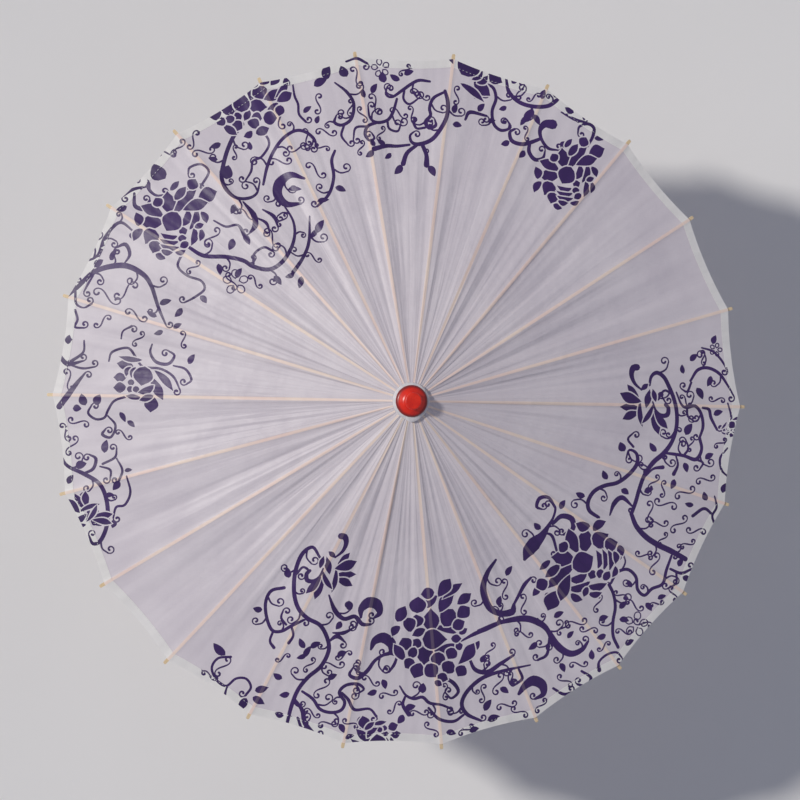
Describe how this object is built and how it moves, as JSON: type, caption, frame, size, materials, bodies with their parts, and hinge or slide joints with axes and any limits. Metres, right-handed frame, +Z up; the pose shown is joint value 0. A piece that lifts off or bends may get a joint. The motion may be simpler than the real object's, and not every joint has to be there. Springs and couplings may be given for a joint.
{
  "type": "folding parasol",
  "caption": "Open craft parasol with a printed satin canopy on bamboo ribs, a red lacquered finial, a wooden shaft and a sliding runner that folds it.",
  "frame": {"origin": "on the shaft's axis, at the middle of the hand grip", "axes": "+Z up along the shaft towards the finial, +X towards the first rib, +Y to the left of it seen from above"},
  "size_m": [0.8406, 0.8324, 0.551],
  "materials": {
    "silk_cloth": "white satin cloth with a printed lotus pattern",
    "hem_cloth": "double white satin cloth",
    "thread": "white sewing thread",
    "rib_bamboo": "split bamboo, clear varnish",
    "strut_bamboo": "split bamboo, clear varnish",
    "shaft_wood": "straight-grained dowel, varnished",
    "turned_wood": "turned hardwood, varnished",
    "red_lacquer": "turned wood under glossy red lacquer",
    "steel_wire": "drawn wire"
  },
  "bodies": {
    "mast": {"shaft": "shaft_wood", "handle": "turned_wood", "upper_hub": "turned_wood", "hub_pin": "steel_wire", "hub_wire": "steel_wire", "latch_pin": "steel_wire", "stop_pin": "steel_wire", "canopy": "silk_cloth", "hem_band": "hem_cloth", "hem_thread": "thread", "crown_cloth": "silk_cloth", "finial": "red_lacquer"},
    "rib_01": {"rib_01": "rib_bamboo"},
    "strut_01": {"strut_01": "strut_bamboo"},
    "rib_02": {"rib_02": "rib_bamboo"},
    "strut_02": {"strut_02": "strut_bamboo"},
    "rib_03": {"rib_03": "rib_bamboo"},
    "strut_03": {"strut_03": "strut_bamboo"},
    "rib_04": {"rib_04": "rib_bamboo"},
    "strut_04": {"strut_04": "strut_bamboo"},
    "rib_05": {"rib_05": "rib_bamboo"},
    "strut_05": {"strut_05": "strut_bamboo"},
    "rib_06": {"rib_06": "rib_bamboo"},
    "strut_06": {"strut_06": "strut_bamboo"},
    "rib_07": {"rib_07": "rib_bamboo"},
    "strut_07": {"strut_07": "strut_bamboo"},
    "rib_08": {"rib_08": "rib_bamboo"},
    "strut_08": {"strut_08": "strut_bamboo"},
    "rib_09": {"rib_09": "rib_bamboo"},
    "strut_09": {"strut_09": "strut_bamboo"},
    "rib_10": {"rib_10": "rib_bamboo"},
    "strut_10": {"strut_10": "strut_bamboo"},
    "rib_11": {"rib_11": "rib_bamboo"},
    "strut_11": {"strut_11": "strut_bamboo"},
    "rib_12": {"rib_12": "rib_bamboo"},
    "strut_12": {"strut_12": "strut_bamboo"},
    "rib_13": {"rib_13": "rib_bamboo"},
    "strut_13": {"strut_13": "strut_bamboo"},
    "rib_14": {"rib_14": "rib_bamboo"},
    "strut_14": {"strut_14": "strut_bamboo"},
    "rib_15": {"rib_15": "rib_bamboo"},
    "strut_15": {"strut_15": "strut_bamboo"},
    "rib_16": {"rib_16": "rib_bamboo"},
    "strut_16": {"strut_16": "strut_bamboo"},
    "rib_17": {"rib_17": "rib_bamboo"},
    "strut_17": {"strut_17": "strut_bamboo"},
    "rib_18": {"rib_18": "rib_bamboo"},
    "strut_18": {"strut_18": "strut_bamboo"},
    "rib_19": {"rib_19": "rib_bamboo"},
    "strut_19": {"strut_19": "strut_bamboo"},
    "rib_20": {"rib_20": "rib_bamboo"},
    "strut_20": {"strut_20": "strut_bamboo"},
    "rib_21": {"rib_21": "rib_bamboo"},
    "strut_21": {"strut_21": "strut_bamboo"},
    "rib_22": {"rib_22": "rib_bamboo"},
    "strut_22": {"strut_22": "strut_bamboo"},
    "runner": {"runner": "turned_wood", "runner_wire": "steel_wire"},
    "latch": {"latch_spring": "strut_bamboo"}
  },
  "joints": [
    {"name": "rib_01_fold", "type": "hinge", "parent": "mast", "child": "rib_01", "pos_m": [0.015, 0, 0.47], "axis": [0, 1, 0], "range_deg": [0, 71], "deforming": ["canopy", "hem_band", "hem_thread", "latch_spring"]},
    {"name": "strut_01_knee", "type": "hinge", "parent": "rib_01", "child": "strut_01", "pos_m": [0.19192, 0, 0.41591], "axis": [0, 1, 0], "range_deg": [-142, 0]},
    {"name": "rib_02_fold", "type": "hinge", "parent": "mast", "child": "rib_02", "pos_m": [0.01439, 0.00423, 0.47], "axis": [-0.2817, 0.9595, 0], "range_deg": [0, 71]},
    {"name": "strut_02_knee", "type": "hinge", "parent": "rib_02", "child": "strut_02", "pos_m": [0.18414, 0.05407, 0.41591], "axis": [-0.2817, 0.9595, 0], "range_deg": [-142, 0]},
    {"name": "rib_03_fold", "type": "hinge", "parent": "mast", "child": "rib_03", "pos_m": [0.01262, 0.00811, 0.47], "axis": [-0.5406, 0.8413, 0], "range_deg": [0, 71]},
    {"name": "strut_03_knee", "type": "hinge", "parent": "rib_03", "child": "strut_03", "pos_m": [0.16145, 0.10376, 0.41591], "axis": [-0.5406, 0.8413, 0], "range_deg": [-142, 0]},
    {"name": "rib_04_fold", "type": "hinge", "parent": "mast", "child": "rib_04", "pos_m": [0.00982, 0.01134, 0.47], "axis": [-0.7557, 0.6549, 0], "range_deg": [0, 71]},
    {"name": "strut_04_knee", "type": "hinge", "parent": "rib_04", "child": "strut_04", "pos_m": [0.12568, 0.14504, 0.41591], "axis": [-0.7557, 0.6549, 0], "range_deg": [-142, 0]},
    {"name": "rib_05_fold", "type": "hinge", "parent": "mast", "child": "rib_05", "pos_m": [0.00623, 0.01364, 0.47], "axis": [-0.9096, 0.4154, 0], "range_deg": [0, 71]},
    {"name": "strut_05_knee", "type": "hinge", "parent": "rib_05", "child": "strut_05", "pos_m": [0.07972, 0.17457, 0.41591], "axis": [-0.9096, 0.4154, 0], "range_deg": [-142, 0]},
    {"name": "rib_06_fold", "type": "hinge", "parent": "mast", "child": "rib_06", "pos_m": [0.00213, 0.01485, 0.47], "axis": [-0.9898, 0.1423, 0], "range_deg": [0, 71]},
    {"name": "strut_06_knee", "type": "hinge", "parent": "rib_06", "child": "strut_06", "pos_m": [0.02731, 0.18996, 0.41591], "axis": [-0.9898, 0.1423, 0], "range_deg": [-142, 0]},
    {"name": "rib_07_fold", "type": "hinge", "parent": "mast", "child": "rib_07", "pos_m": [-0.00213, 0.01485, 0.47], "axis": [-0.9898, -0.1423, 0], "range_deg": [0, 71]},
    {"name": "strut_07_knee", "type": "hinge", "parent": "rib_07", "child": "strut_07", "pos_m": [-0.02731, 0.18996, 0.41591], "axis": [-0.9898, -0.1423, 0], "range_deg": [-142, 0]},
    {"name": "rib_08_fold", "type": "hinge", "parent": "mast", "child": "rib_08", "pos_m": [-0.00623, 0.01364, 0.47], "axis": [-0.9096, -0.4154, 0], "range_deg": [0, 71]},
    {"name": "strut_08_knee", "type": "hinge", "parent": "rib_08", "child": "strut_08", "pos_m": [-0.07972, 0.17457, 0.41591], "axis": [-0.9096, -0.4154, 0], "range_deg": [-142, 0]},
    {"name": "rib_09_fold", "type": "hinge", "parent": "mast", "child": "rib_09", "pos_m": [-0.00982, 0.01134, 0.47], "axis": [-0.7557, -0.6549, 0], "range_deg": [0, 71]},
    {"name": "strut_09_knee", "type": "hinge", "parent": "rib_09", "child": "strut_09", "pos_m": [-0.12568, 0.14504, 0.41591], "axis": [-0.7557, -0.6549, 0], "range_deg": [-142, 0]},
    {"name": "rib_10_fold", "type": "hinge", "parent": "mast", "child": "rib_10", "pos_m": [-0.01262, 0.00811, 0.47], "axis": [-0.5406, -0.8413, 0], "range_deg": [0, 71]},
    {"name": "strut_10_knee", "type": "hinge", "parent": "rib_10", "child": "strut_10", "pos_m": [-0.16145, 0.10376, 0.41591], "axis": [-0.5406, -0.8413, 0], "range_deg": [-142, 0]},
    {"name": "rib_11_fold", "type": "hinge", "parent": "mast", "child": "rib_11", "pos_m": [-0.01439, 0.00423, 0.47], "axis": [-0.2817, -0.9595, 0], "range_deg": [0, 71]},
    {"name": "strut_11_knee", "type": "hinge", "parent": "rib_11", "child": "strut_11", "pos_m": [-0.18414, 0.05407, 0.41591], "axis": [-0.2817, -0.9595, 0], "range_deg": [-142, 0]},
    {"name": "rib_12_fold", "type": "hinge", "parent": "mast", "child": "rib_12", "pos_m": [-0.015, 0, 0.47], "axis": [0, -1, 0], "range_deg": [0, 71]},
    {"name": "strut_12_knee", "type": "hinge", "parent": "rib_12", "child": "strut_12", "pos_m": [-0.19192, 0, 0.41591], "axis": [0, -1, 0], "range_deg": [-142, 0]},
    {"name": "rib_13_fold", "type": "hinge", "parent": "mast", "child": "rib_13", "pos_m": [-0.01439, -0.00423, 0.47], "axis": [0.2817, -0.9595, 0], "range_deg": [0, 71]},
    {"name": "strut_13_knee", "type": "hinge", "parent": "rib_13", "child": "strut_13", "pos_m": [-0.18414, -0.05407, 0.41591], "axis": [0.2817, -0.9595, 0], "range_deg": [-142, 0]},
    {"name": "rib_14_fold", "type": "hinge", "parent": "mast", "child": "rib_14", "pos_m": [-0.01262, -0.00811, 0.47], "axis": [0.5406, -0.8413, 0], "range_deg": [0, 71]},
    {"name": "strut_14_knee", "type": "hinge", "parent": "rib_14", "child": "strut_14", "pos_m": [-0.16145, -0.10376, 0.41591], "axis": [0.5406, -0.8413, 0], "range_deg": [-142, 0]},
    {"name": "rib_15_fold", "type": "hinge", "parent": "mast", "child": "rib_15", "pos_m": [-0.00982, -0.01134, 0.47], "axis": [0.7557, -0.6549, 0], "range_deg": [0, 71]},
    {"name": "strut_15_knee", "type": "hinge", "parent": "rib_15", "child": "strut_15", "pos_m": [-0.12568, -0.14504, 0.41591], "axis": [0.7557, -0.6549, 0], "range_deg": [-142, 0]},
    {"name": "rib_16_fold", "type": "hinge", "parent": "mast", "child": "rib_16", "pos_m": [-0.00623, -0.01364, 0.47], "axis": [0.9096, -0.4154, 0], "range_deg": [0, 71]},
    {"name": "strut_16_knee", "type": "hinge", "parent": "rib_16", "child": "strut_16", "pos_m": [-0.07972, -0.17457, 0.41591], "axis": [0.9096, -0.4154, 0], "range_deg": [-142, 0]},
    {"name": "rib_17_fold", "type": "hinge", "parent": "mast", "child": "rib_17", "pos_m": [-0.00213, -0.01485, 0.47], "axis": [0.9898, -0.1423, 0], "range_deg": [0, 71]},
    {"name": "strut_17_knee", "type": "hinge", "parent": "rib_17", "child": "strut_17", "pos_m": [-0.02731, -0.18996, 0.41591], "axis": [0.9898, -0.1423, 0], "range_deg": [-142, 0]},
    {"name": "rib_18_fold", "type": "hinge", "parent": "mast", "child": "rib_18", "pos_m": [0.00213, -0.01485, 0.47], "axis": [0.9898, 0.1423, 0], "range_deg": [0, 71]},
    {"name": "strut_18_knee", "type": "hinge", "parent": "rib_18", "child": "strut_18", "pos_m": [0.02731, -0.18996, 0.41591], "axis": [0.9898, 0.1423, 0], "range_deg": [-142, 0]},
    {"name": "rib_19_fold", "type": "hinge", "parent": "mast", "child": "rib_19", "pos_m": [0.00623, -0.01364, 0.47], "axis": [0.9096, 0.4154, 0], "range_deg": [0, 71]},
    {"name": "strut_19_knee", "type": "hinge", "parent": "rib_19", "child": "strut_19", "pos_m": [0.07972, -0.17457, 0.41591], "axis": [0.9096, 0.4154, 0], "range_deg": [-142, 0]},
    {"name": "rib_20_fold", "type": "hinge", "parent": "mast", "child": "rib_20", "pos_m": [0.00982, -0.01134, 0.47], "axis": [0.7557, 0.6549, 0], "range_deg": [0, 71]},
    {"name": "strut_20_knee", "type": "hinge", "parent": "rib_20", "child": "strut_20", "pos_m": [0.12568, -0.14504, 0.41591], "axis": [0.7557, 0.6549, 0], "range_deg": [-142, 0]},
    {"name": "rib_21_fold", "type": "hinge", "parent": "mast", "child": "rib_21", "pos_m": [0.01262, -0.00811, 0.47], "axis": [0.5406, 0.8413, 0], "range_deg": [0, 71]},
    {"name": "strut_21_knee", "type": "hinge", "parent": "rib_21", "child": "strut_21", "pos_m": [0.16145, -0.10376, 0.41591], "axis": [0.5406, 0.8413, 0], "range_deg": [-142, 0]},
    {"name": "rib_22_fold", "type": "hinge", "parent": "mast", "child": "rib_22", "pos_m": [0.01439, -0.00423, 0.47], "axis": [0.2817, 0.9595, 0], "range_deg": [0, 71]},
    {"name": "strut_22_knee", "type": "hinge", "parent": "rib_22", "child": "strut_22", "pos_m": [0.18414, -0.05407, 0.41591], "axis": [0.2817, 0.9595, 0], "range_deg": [-142, 0]},
    {"name": "runner_pivot", "type": "hinge", "parent": "strut_01", "child": "runner", "pos_m": [0.015, 0, 0.36182], "axis": [0, 1, 0], "range_deg": [0, 71]},
    {"name": "latch_press", "type": "hinge", "parent": "mast", "child": "latch", "pos_m": [0.0015, 0, 0.28502], "axis": [0, -1, 0], "range_deg": [0, 4], "stiffness_Nm_per_rad": 0.5, "springref_deg": -2.86}
  ],
  "couplings": [
    {"joint": "strut_01_knee", "follows": "rib_01_fold", "ratio": -2},
    {"joint": "rib_02_fold", "follows": "rib_01_fold", "ratio": 1},
    {"joint": "strut_02_knee", "follows": "rib_01_fold", "ratio": -2},
    {"joint": "rib_03_fold", "follows": "rib_01_fold", "ratio": 1},
    {"joint": "strut_03_knee", "follows": "rib_01_fold", "ratio": -2},
    {"joint": "rib_04_fold", "follows": "rib_01_fold", "ratio": 1},
    {"joint": "strut_04_knee", "follows": "rib_01_fold", "ratio": -2},
    {"joint": "rib_05_fold", "follows": "rib_01_fold", "ratio": 1},
    {"joint": "strut_05_knee", "follows": "rib_01_fold", "ratio": -2},
    {"joint": "rib_06_fold", "follows": "rib_01_fold", "ratio": 1},
    {"joint": "strut_06_knee", "follows": "rib_01_fold", "ratio": -2},
    {"joint": "rib_07_fold", "follows": "rib_01_fold", "ratio": 1},
    {"joint": "strut_07_knee", "follows": "rib_01_fold", "ratio": -2},
    {"joint": "rib_08_fold", "follows": "rib_01_fold", "ratio": 1},
    {"joint": "strut_08_knee", "follows": "rib_01_fold", "ratio": -2},
    {"joint": "rib_09_fold", "follows": "rib_01_fold", "ratio": 1},
    {"joint": "strut_09_knee", "follows": "rib_01_fold", "ratio": -2},
    {"joint": "rib_10_fold", "follows": "rib_01_fold", "ratio": 1},
    {"joint": "strut_10_knee", "follows": "rib_01_fold", "ratio": -2},
    {"joint": "rib_11_fold", "follows": "rib_01_fold", "ratio": 1},
    {"joint": "strut_11_knee", "follows": "rib_01_fold", "ratio": -2},
    {"joint": "rib_12_fold", "follows": "rib_01_fold", "ratio": 1},
    {"joint": "strut_12_knee", "follows": "rib_01_fold", "ratio": -2},
    {"joint": "rib_13_fold", "follows": "rib_01_fold", "ratio": 1},
    {"joint": "strut_13_knee", "follows": "rib_01_fold", "ratio": -2},
    {"joint": "rib_14_fold", "follows": "rib_01_fold", "ratio": 1},
    {"joint": "strut_14_knee", "follows": "rib_01_fold", "ratio": -2},
    {"joint": "rib_15_fold", "follows": "rib_01_fold", "ratio": 1},
    {"joint": "strut_15_knee", "follows": "rib_01_fold", "ratio": -2},
    {"joint": "rib_16_fold", "follows": "rib_01_fold", "ratio": 1},
    {"joint": "strut_16_knee", "follows": "rib_01_fold", "ratio": -2},
    {"joint": "rib_17_fold", "follows": "rib_01_fold", "ratio": 1},
    {"joint": "strut_17_knee", "follows": "rib_01_fold", "ratio": -2},
    {"joint": "rib_18_fold", "follows": "rib_01_fold", "ratio": 1},
    {"joint": "strut_18_knee", "follows": "rib_01_fold", "ratio": -2},
    {"joint": "rib_19_fold", "follows": "rib_01_fold", "ratio": 1},
    {"joint": "strut_19_knee", "follows": "rib_01_fold", "ratio": -2},
    {"joint": "rib_20_fold", "follows": "rib_01_fold", "ratio": 1},
    {"joint": "strut_20_knee", "follows": "rib_01_fold", "ratio": -2},
    {"joint": "rib_21_fold", "follows": "rib_01_fold", "ratio": 1},
    {"joint": "strut_21_knee", "follows": "rib_01_fold", "ratio": -2},
    {"joint": "rib_22_fold", "follows": "rib_01_fold", "ratio": 1},
    {"joint": "strut_22_knee", "follows": "rib_01_fold", "ratio": -2},
    {"joint": "runner_pivot", "follows": "rib_01_fold", "ratio": 1}
  ]
}
